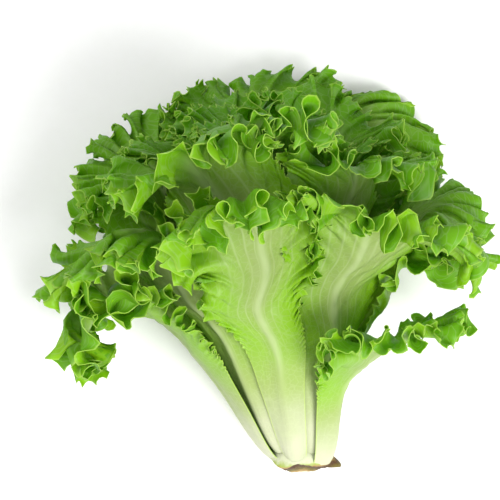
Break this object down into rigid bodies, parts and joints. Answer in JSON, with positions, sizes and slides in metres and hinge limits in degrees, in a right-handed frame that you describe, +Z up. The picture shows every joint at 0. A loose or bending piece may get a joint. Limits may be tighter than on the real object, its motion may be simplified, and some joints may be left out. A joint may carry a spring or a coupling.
{
  "type": "head of curly leaf lettuce",
  "caption": "Cut head of curly leaf lettuce lying on its side, separate frilled leaves spiralling round one short stem with a trimmed root end.",
  "frame": {"origin": "middle of the footprint, on the surface that the head lies on", "axes": "+Z up from the surface, +Y from the cut root towards the crown, +X across the head; the head's own axis rises 20 degrees from +Y and leans 6 degrees towards -X"},
  "size_m": [0.269, 0.2586, 0.204],
  "materials": {
    "stem_flesh": "pale moist stem flesh, brown and dry where it was cut",
    "outer_leaf": "satin leaf, bright green frill running to white ribs",
    "heart_leaf": "satin leaf, yellow-green frill running to white ribs"
  },
  "bodies": {
    "root": {"stem": "stem_flesh", "leaf_01": "outer_leaf", "leaf_02": "outer_leaf", "leaf_03": "outer_leaf", "leaf_04": "outer_leaf", "leaf_05": "outer_leaf", "leaf_06": "outer_leaf", "leaf_07": "outer_leaf", "leaf_08": "outer_leaf", "leaf_09": "outer_leaf", "leaf_10": "outer_leaf", "leaf_11": "outer_leaf", "leaf_12": "outer_leaf", "leaf_13": "outer_leaf", "leaf_14": "outer_leaf", "leaf_15": "outer_leaf", "leaf_16": "outer_leaf", "leaf_17": "heart_leaf", "leaf_18": "heart_leaf", "leaf_19": "heart_leaf", "leaf_20": "heart_leaf", "leaf_21": "heart_leaf", "leaf_22": "heart_leaf", "leaf_23": "heart_leaf", "leaf_24": "heart_leaf"}
  },
  "joints": []
}
